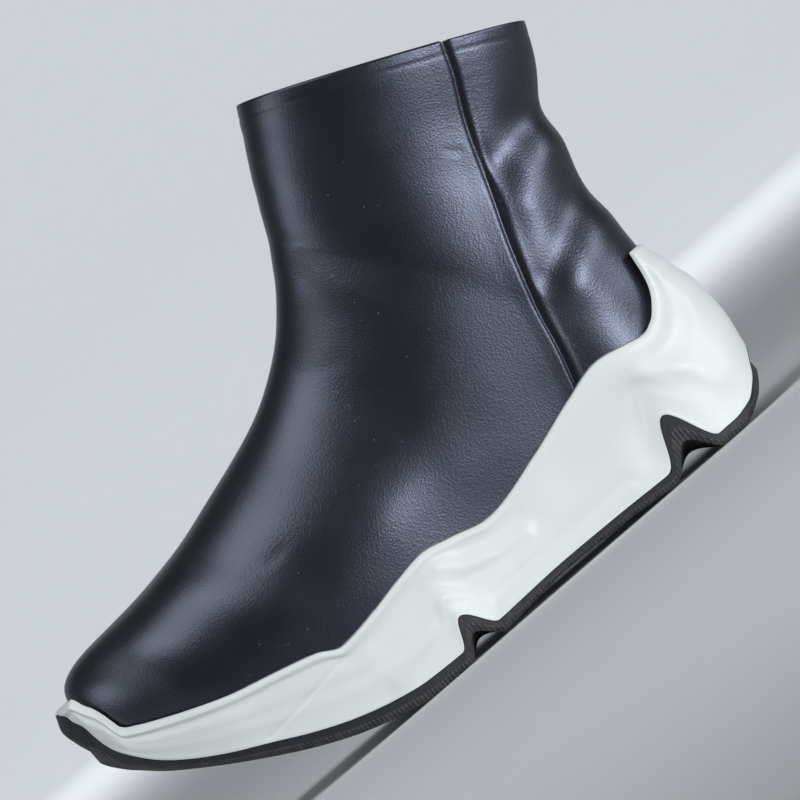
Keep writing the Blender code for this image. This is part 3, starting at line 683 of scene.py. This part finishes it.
def notch(share, column):
    """Lift of the underside (column 5) or the rubber's edge (column 6) in the notches."""
    lift = 0
    for row in NOTCHES:
        offset = share - row[0]
        reach = np.where(offset < 0, row[1], row[2])
        sharp = np.where(offset < 0, row[3], row[4])
        nearness = np.cos(np.clip(np.abs(offset) / reach, 0, 1) * math.pi / 2)
        lift = lift + row[column] * np.maximum(nearness, 0)**sharp
    return lift * SOLE_HEIGHT


def underside(share, middle=0):
    """Height of the sole's underside; middle runs from 0 at the edge to 1."""
    return smooth(SIDE, 1, share) * SOLE_HEIGHT + notch(share, 5) * (1 - 0.55 * middle)


def rubber_edge(share):
    """Height of the line between rubber and midsole on the side."""
    return smooth(SIDE, 2, share) * SOLE_HEIGHT + notch(share, 6)


def lip(share):
    """Height of the midsole's top edge."""
    return smooth(LIP, 1, share) * SOLE_HEIGHT


def sole_outline():
    """Shares, points and inward directions round the sole, from the toe along both sides."""
    toe = 0.075 * (np.linspace(0, 1, 46)[:-1])**2
    body = np.linspace(0.075, 0.916, 300)[:-1]
    heel = 1 - 0.084 * (1 - np.linspace(0, 1, 40))**2
    share = np.concatenate([toe, body, heel])
    sides = {}
    for side in (-1, 1):
        wide = smooth(PLAN, 1 if side < 0 else 2, share) * SOLE_WIDTH / 2
        wide = wide * round_end(share, 0.20, 2.5) * round_end(1 - share, 0.15, 2.3)
        sides[side] = np.stack([place(share), centre(share) + side * wide], 1)
    ring = np.concatenate([sides[-1], sides[1][-2:0:-1]])
    shares = np.concatenate([share, share[-2:0:-1]])
    run = np.roll(ring, -1, 0) - np.roll(ring, 1, 0)
    run /= np.linalg.norm(run, axis=1)[:, None]
    inward = np.stack([-run[:, 1], run[:, 0]], 1)
    if (inward * (ring.mean(0) - ring)).sum() < 0:
        inward = -inward
    return shares, ring, inward


shares, ring, inward = sole_outline()


def ring_at(inset, height):
    """A closed ring round the sole, inset from its outline, at the given heights."""
    flat = ring + inward * np.asarray(inset)[:, None]
    return np.column_stack([flat, height])


def wall(column):
    return smooth(WALL, column, shares) * FLARE


# Lip of the midsole: distance below the top edge and how far it stands in, in mm
BEAD = [
    (0.0, 1.50),
    (0.2, 0.75),
    (0.6, 0.26),
    (1.2, -0.10),
    (2.0, -0.26),
    (2.6, -0.14),
    (3.1, 0.28),
    (3.6, 0.62),
    (4.4, 0.55),
    (6.5, 0.15),
    (9.0, 0.0),
    (99.0, 0.0),
]

# Where the lip is crisp: along, strength
BEAD_STRENGTH = [
    (0.00, 1.0),
    (0.34, 1.0),
    (0.44, 0.90),
    (0.50, 0.50),
    (0.58, 0.25),
    (0.85, 0.20),
    (0.92, 0.10),
    (1.00, 0.05),
]

# Sculpting of the side, as the creases are given
SCULPT = [
    (-0.45, 0.9, 0, (-49.5, 31.0), (-68.7, 28.3), (-88.0, 26.4)),
    (0.8, 3.4, 0, (-40.0, 12.5), (-31.0, 16.5), (-19.0, 20.5), (-10.5, 24.7)),
    (-0.6, 6.0, 0, (-36.0, 28.0), (-16.0, 35.0)),
    (0.9, 3.2, 0, (-5.0, 33.5), (4.0, 27.5), (14.3, 23.4), (27.0, 22.2)),
    (-0.5, 4.5, 0, (6.0, 33.0), (17.0, 30.0), (28.0, 29.5)),
    (-0.3, 3.4, 0, (-4.0, 18.0), (8.0, 15.0), (16.0, 15.0)),
    (0.40, 1.3, 0, (4.0, 8.2), (30.0, 9.0), (66.0, 9.6)),
    (-0.30, 2.0, 0, (4.0, 12.0), (30.0, 12.8), (66.0, 13.4)),
    (1.1, 4.0, 0, (94.0, 40.0), (103.5, 33.5), (109.0, 27.7), (113.4, 19.0)),
    (-1.2, 6.0, 0, (78.0, 15.0), (83.0, 24.0), (88.0, 33.0)),
    (0.5, 8.0, 0, (118.0, 42.0), (121.0, 22.0)),
    (-0.5, 9.0, 0, (52.0, 28.0), (72.0, 31.0)),
    (0.5, 6.0, 0, (60.0, 44.0), (90.0, 50.0)),
]

LEVELS = 44
edge_height = rubber_edge(shares)
rise = np.abs(rubber_edge(shares + 0.001) - rubber_edge(shares - 0.001)) / (0.002 * SOLE_LENGTH)
foot_height = edge_height + CLEARANCE * np.minimum(np.sqrt(1 + rise**2), 3)
lip_height = lip(shares)
knots = np.stack([wall(3), wall(4), wall(5), wall(6), wall(7), wall(7)])
knot_at = [0.0, 0.30, 0.55, 0.80, 0.95, 1.0]
strength = smooth(BEAD_STRENGTH, 1, shares)
rings = []
for up in 1 - (1 - np.linspace(0, 1, LEVELS))**1.35:
    inset = sum(
        knots[k] * float(smooth([(a, 1.0 if j == k else 0.0) for j, a in enumerate(knot_at)], 1, up))
        for k in range(len(knots)))
    z = foot_height + up * (lip_height - foot_height)
    under_lip = (lip_height - z) * 1000
    bead = np.interp(under_lip, *zip(*BEAD))
    rounding = 1.6 * np.clip(1 - under_lip / 2.2, 0, 1)**2
    rim_line = -0.30 * np.exp(-(((z - foot_height) * 1000 - 0.9) / 0.55)**2)
    inset = inset + (bead * strength + rounding * (1 - strength) + rim_line * 0.6) / 1000
    level_ring = ring_at(inset, z)
    push = side_push(level_ring[None], SCULPT, 1)[0] * np.clip(under_lip / 4 - 0.5, 0, 1)
    push = push * np.clip(inward[:, 1]**2 * 1.6, 0, 1)
    level_ring[:, :2] -= inward * push[:, None]
    rings.append(level_ring)
toe_margin = TOE_MARGIN - SIDE_MARGIN
margin = SIDE_MARGIN + toe_margin * np.clip(1 - shares / 0.12, 0, 1)
margin += (HEEL_MARGIN - SIDE_MARGIN) * heel_share(shares)
bed_edge = np.maximum(margin + 0.0012, wall(7) + 0.0030)
skin = outer_face.reshape(-1, 3)
reach = np.full(len(shares), np.nan)
for k in range(len(shares)):
    gap = skin - np.append(ring[k], lip_height[k])
    level = np.abs(gap[:, 2]) < 0.0015
    inside = gap[level, :2] @ inward[k]
    beside = np.abs(gap[level, 0] * inward[k, 1] - gap[level, 1] * inward[k, 0])
    near = inside[(beside < 0.0016) & (inside < 0.022)]
    if len(near):
        reach[k] = near.min()
found = np.isfinite(reach)
stations_at = np.arange(len(shares))
reach = np.interp(stations_at, stations_at[found], reach[found], period=len(shares))
for _ in range(6):
    reach = 0.25 * (np.roll(reach, 1) + np.roll(reach, -1) + 2 * reach)
ledge = np.clip(reach + 0.0001, wall(7) + 0.0022, 0.020)
for part in (0.5, 1.0):
    inset = wall(7) + 0.0016 + part * (ledge - wall(7) - 0.0016)
    top_ring = ring_at(inset, lip_height + 0.00005)
    top_ring[:, 2] = np.minimum(top_ring[:, 2], lip(along(top_ring[:, 0])) + 0.00005)
    rings.append(top_ring)
bed_height = bed(shares) - 0.0002
for part in (0.35, 1.0):
    drop = np.minimum(bed_height, top_ring[:, 2] - 0.0004) - top_ring[:, 2]
    rings.append(ring_at(ledge + part * np.maximum(bed_edge - ledge, 0), top_ring[:, 2] + part * drop))
under_ring = ring_at(wall(3) + RUBBER_RIM + CLEARANCE, foot_height)
climb = np.abs(underside(shares + 0.0015, 1) - underside(shares - 0.0015, 1)) / (0.003 * SOLE_LENGTH)
rubber_top = underside(shares, 1) + RUBBER * np.sqrt(1 + np.minimum(climb, 1.5)**2)
rubber_top = np.minimum(rubber_top, edge_height - CLEARANCE)
floor_ring = ring_at(wall(3) + RUBBER_RIM + RIM_STEP + CLEARANCE, rubber_top + foot_height - edge_height)
rings = [floor_ring, under_ring] + rings


def across(name, one_ring, cells, height):
    """A sheet between the two sides of a ring; height(share, nearness to the middle)."""
    count = len(shares) // 2 + 1
    left = one_ring[:count]
    right = np.concatenate([one_ring[:1], one_ring[:count - 2:-1]])
    rows = []
    for step in np.linspace(0, 1, cells + 1):
        row = left * (1 - step) + right * step
        if 0 < step < 1:
            row[:, 2] = height(along(row[:, 0]), 1 - (2 * step - 1)**2, row[:, 2])
        rows.append(row)
    return sheet(name, np.array(rows))


def wrapped(name, rings):
    """A sheet of closed rings, wrapped round the sole."""
    grid = np.array(rings)
    return sheet(name, np.concatenate([grid, grid[:, :1]], 1))


def joined(pieces):
    """Joins sheets into one closed piece, its points merged and its faces turned out."""
    deselect()
    for piece in pieces:
        piece.select_set(True)
    bpy.context.view_layer.objects.active = pieces[0]
    bpy.ops.object.join()
    bpy.ops.object.mode_set(mode="EDIT")
    bpy.ops.mesh.select_all(action="SELECT")
    bpy.ops.mesh.remove_doubles(threshold=3e-6)
    bpy.ops.mesh.normals_make_consistent(inside=False)
    bpy.ops.object.mode_set(mode="OBJECT")
    return pieces[0]


foam = joined([
    wrapped("foam_midsole", rings),
    across("foam_bed", rings[-1], 12, lambda share, near, z: bed(share) - 0.0002),
    across("foam_under", rings[0], 12, lambda share, near, z: z),
])

# Moulded foam with a satin skin: cool white, the faint orange peel of the mould.
white, white_shader = new_material(
    "satin_white_foam", Base_Color=rgb("#e4e9e7"), Roughness=0.42, IOR=1.46)
MOULD_GRAIN = 0.0008
mould_at = node(white, "TexCoord").outputs["Object"]
peel = node(white, "TexNoise", {"Vector": mould_at}, {"Scale": 1 / MOULD_GRAIN, "Detail": 2})
peel_relief = node(white, "Bump", {"Height": peel.outputs["Fac"]}, {"Strength": 0.15, "Distance": 0.00006})
white.node_tree.links.new(peel_relief.outputs["Normal"], white_shader.inputs["Normal"])
cloud = node(white, "TexNoise", {"Vector": mould_at}, {"Scale": 35, "Detail": 4})
white_tone = node(white, "Mix", {"Factor": cloud.outputs["Fac"]},
                  {"A": rgb("#e0e6e4"), "B": rgb("#e8ece9")}, data_type="RGBA")
white.node_tree.links.new(white_tone.outputs["Result"], white_shader.inputs["Base Color"])
satin = node(white, "MapRange", {"Value": cloud.outputs["Fac"]}, {"To Min": 0.34, "To Max": 0.50})
white.node_tree.links.new(satin.outputs[0], white_shader.inputs["Roughness"])
foam.data.materials.append(white)
deselect()
foam.select_set(True)
bpy.context.view_layer.objects.active = foam
bpy.ops.object.shade_smooth_by_angle(angle=math.radians(50))
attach(foam, "root")
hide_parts("midsole")

# Glue line. A thread of sole cement that shows, shiny and uneven, where leather meets foam; the pale
# patches in its colour are painted glints.
THREAD = 0.0003
order = np.arange(len(shares))
bead_wide = THREAD * (0.85 + 0.25 * np.sin(order * 0.61) * np.sin(order * 0.173))
thread_rows = []
for turned in np.linspace(0, 2 * math.pi, 7):
    row = ring_at(ledge - 0.0005 + bead_wide * math.cos(turned), top_ring[:, 2] + 0.0002)
    row[:, 2] += bead_wide * math.sin(turned)
    thread_rows.append(row)
thread = joined([wrapped("glue_line", thread_rows)])
cement, cement_shader = new_material(
    "dried_sole_cement", Base_Color=rgb("#4d5157"), Roughness=0.22, IOR=1.5)
cement_at = node(cement, "TexCoord").outputs["Object"]
# Colour mottled from near black to pale grey: uneven cement, with the pale patches painting broken glints
# along the join.
cement_lumps_and_glints = node(cement, "TexNoise", {"Vector": cement_at}, {"Scale": 500, "Detail": 3})
cement_tone_and_glints = node(cement, "Mix", {"Factor": cement_lumps_and_glints.outputs["Fac"]},
                   {"A": rgb("#1b1c1f"), "B": rgb("#8b9097")}, data_type="RGBA")
cement.node_tree.links.new(cement_tone_and_glints.outputs["Result"], cement_shader.inputs["Base Color"])
thread.data.materials.append(cement)
deselect()
thread.select_set(True)
bpy.context.view_layer.objects.active = thread
bpy.ops.object.shade_smooth()
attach(thread, "root")

# Outsole. Thin black rubber, moulded to follow the pods and notches and wrapped up over the toe.
low_height = underside(shares, 0)
rubber_rings = []
side_up = np.linspace(0, 1, 14)
for up in side_up:
    knots = [(0.0, 0), (0.45, 1), (1.0, 2)]
    insets = [wall(1), wall(2), wall(3)]
    weight = [float(smooth([(a, 1.0 if j == k else 0.0) for j, (a, _) in enumerate(knots)], 1, up))
              for k in range(3)]
    inset = sum(w * i for w, i in zip(weight, insets))
    rubber_rings.append(ring_at(inset, low_height + up * (edge_height - low_height)))
rubber_rings.append(ring_at(wall(3) + RUBBER_RIM, edge_height))
rubber_rings.append(ring_at(wall(3) + RUBBER_RIM + RIM_STEP, rubber_top))
rubber_side = wrapped("rubber_outsole", rubber_rings)
tread_base = across("rubber_under", rubber_rings[0], 30, lambda share, near, z: underside(share, near))
rubber_cover = across("rubber_cover", rubber_rings[-1], 12, lambda share, near, z: z)
up_values = np.repeat(np.concatenate([side_up, [1, 1]]), len(shares) + 1)
for sheet_piece, values in ((rubber_side, up_values), (tread_base, None), (rubber_cover, None)):
    data = sheet_piece.data.attributes.new("side_up", "FLOAT", "POINT").data
    if values is not None:
        data.foreach_set("value", values.astype(np.float32))
tread = joined([rubber_side, tread_base, rubber_cover])
# Moulded rubber: a smooth blue-black band above and a lighter, brownish band below, ribbed across
# every 1.5 mm and dulled by dust.
rubber, rubber_shader = new_material(
    "moulded_black_rubber", Base_Color=rgb("#1a1c20"), Roughness=0.55, IOR=1.52)
where = node(rubber, "TexCoord").outputs["Object"]
height_up = node(rubber, "Attribute", attribute_name="side_up").outputs["Fac"]
band = node(rubber, "MapRange", {"Value": height_up}, {"From Min": 0.46, "From Max": 0.54})
dust = node(rubber, "TexNoise", {"Vector": where}, {"Scale": 260, "Detail": 5})
dusty = node(rubber, "MapRange", {"Value": dust.outputs["Fac"]}, {"From Min": 0.35, "From Max": 0.75})
# The band below the rubber's middle is lighter and brownish, mottled by the dust noise.
lower_band_tone = node(rubber, "Mix", {"Factor": dusty.outputs[0]},
            {"A": rgb("#25262a"), "B": rgb("#45433f")}, data_type="RGBA")
tone = node(rubber, "Mix", {"Factor": band.outputs[0], "A": lower_band_tone.outputs["Result"]},
            {"B": rgb("#1b1e27")}, data_type="RGBA")
rubber.node_tree.links.new(tone.outputs["Result"], rubber_shader.inputs["Base Color"])
RIB = 0.0015
ribs = node(rubber, "TexWave", {"Vector": where}, {"Scale": 0.314 / RIB}, bands_direction="X",
            wave_profile="SIN")
low_only = node(rubber, "Math", {0: band.outputs[0]}, {1: -1.0}, operation="MULTIPLY_ADD")
low_only.inputs[2].default_value = 1.0
ribbed = node(rubber, "Math", {0: ribs.outputs["Fac"], 1: low_only.outputs[0]}, operation="MULTIPLY")
skin = node(rubber, "Math", {0: ribbed.outputs[0], 1: dust.outputs["Fac"]}, operation="ADD")
relief = node(rubber, "Bump", {"Height": skin.outputs[0]}, {"Strength": 0.6, "Distance": 0.0004})
rubber.node_tree.links.new(relief.outputs["Normal"], rubber_shader.inputs["Normal"])
matt = node(rubber, "MapRange", {"Value": dust.outputs["Fac"]}, {"To Min": 0.45, "To Max": 0.75})
rubber.node_tree.links.new(matt.outputs[0], rubber_shader.inputs["Roughness"])
tread.data.materials.append(rubber)
deselect()
tread.select_set(True)
bpy.context.view_layer.objects.active = tread
bpy.ops.object.shade_smooth_by_angle(angle=math.radians(40))
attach(tread, "root")
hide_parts("outsole")

# Insole. A fibre board under a grey woven sock, cut to the bed of the midsole. It keeps its CAD
# solid and takes the weave of its cover, with yarns 0.9 mm apart.
sock, sock_shader = new_material("grey_woven_sock", Base_Color=rgb("#3a3b40"), Roughness=0.9)
YARN = 0.0009
sock_at = node(sock, "TexCoord").outputs["Object"]
warp = node(sock, "TexWave", {"Vector": sock_at}, {"Scale": 0.314 / YARN}, bands_direction="X")
weft = node(sock, "TexWave", {"Vector": sock_at}, {"Scale": 0.314 / YARN}, bands_direction="Y")
weave = node(sock, "Math", {0: warp.outputs["Fac"], 1: weft.outputs["Fac"]}, operation="MULTIPLY")
yarn_tone = node(sock, "Mix", {"Factor": weave.outputs[0]},
                 {"A": rgb("#2b2c30"), "B": rgb("#45464c")}, data_type="RGBA")
sock.node_tree.links.new(yarn_tone.outputs["Result"], sock_shader.inputs["Base Color"])
yarn_relief = node(sock, "Bump", {"Height": weave.outputs[0]}, {"Strength": 0.6, "Distance": 0.0003})
sock.node_tree.links.new(yarn_relief.outputs["Normal"], sock_shader.inputs["Normal"])
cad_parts["insole"].data.materials.clear()
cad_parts["insole"].data.materials.append(sock)

# Studio. A pale floor that curves up far behind on every side, and three soft boxes.
deselect()
bpy.ops.mesh.primitive_circle_add(vertices=96, radius=6, fill_type="NGON")
floor = bpy.context.object
floor.name = "pale_floor"
bpy.ops.object.mode_set(mode="EDIT")
bpy.ops.mesh.select_mode(type="EDGE")
bpy.ops.mesh.select_all(action="SELECT")
bpy.ops.mesh.region_to_loop()
for rise, widen in ((0.10, 1.10), (0.35, 1.10), (0.8, 1.08), (1.4, 1.05), (3.0, 1.02)):
    bpy.ops.mesh.extrude_region_move(TRANSFORM_OT_translate={"value": (0, 0, rise)})
    bpy.ops.transform.resize(value=(widen, widen, 1))
bpy.ops.object.mode_set(mode="OBJECT")
bpy.ops.object.shade_smooth_by_angle(angle=math.radians(60))
paper, paper_shader = new_material("pale_paper", Base_Color=rgb("#d9dbdd"), Roughness=0.9)
fibres = node(paper, "TexNoise", {"Vector": node(paper, "TexCoord").outputs["Object"]},
              {"Scale": 40, "Detail": 5})
paper_tone = node(paper, "Mix", {"Factor": fibres.outputs["Fac"]},
                  {"A": rgb("#d7d9db"), "B": rgb("#dcdedf")}, data_type="RGBA")
paper.node_tree.links.new(paper_tone.outputs["Result"], paper_shader.inputs["Base Color"])
floor.data.materials.append(paper)


def soft_box(name, place, size, power, colour):
    """A square soft light that looks at the shoe."""
    light = bpy.data.lights.new(name, "AREA")
    light.shape = "RECTANGLE"
    light.size, light.size_y = size
    light.energy = power
    light.color = rgb(colour)[:3]
    lamp = bpy.data.objects.new(name, light)
    bpy.context.scene.collection.objects.link(lamp)
    lamp.location = place
    lamp.rotation_mode = "QUATERNION"
    lamp.rotation_quaternion = (Vector((0.02, 0, 0.08)) - Vector(place)).to_track_quat("-Z", "Y")
    lamp.visible_camera = False


soft_box("side_box", (0.84, -1.15, 0.14), (0.42, 0.24), 10, "#f8faff")
soft_box("heel_box", (1.32, -0.50, 0.14), (0.80, 0.25), 5, "#f8faff")
soft_box("over_box", (-0.42, -0.60, 1.5), (1.0, 1.0), 10.5, "#f8faff")
soft_box("toe_box", (-1.4, -0.35, 0.8), (0.5, 0.7), 4, "#f6f9ff")
soft_box("wall_box", (0, 3.6, 3.2), (3.0, 2.5), 170, "#f7f9ff")
wall_lamp = bpy.data.objects["wall_box"]
wall_way = Vector((0, 6.8, 0.1)) - wall_lamp.location
wall_lamp.rotation_quaternion = wall_way.to_track_quat("-Z", "Y")

world = bpy.data.worlds.new("studio_air")
world.use_nodes = True
world.node_tree.nodes["Background"].inputs["Color"].default_value = rgb("#d4d8de")
world.node_tree.nodes["Background"].inputs["Strength"].default_value = 0.10
bpy.context.scene.world = world
bpy.context.scene.view_settings.view_transform = "Standard"
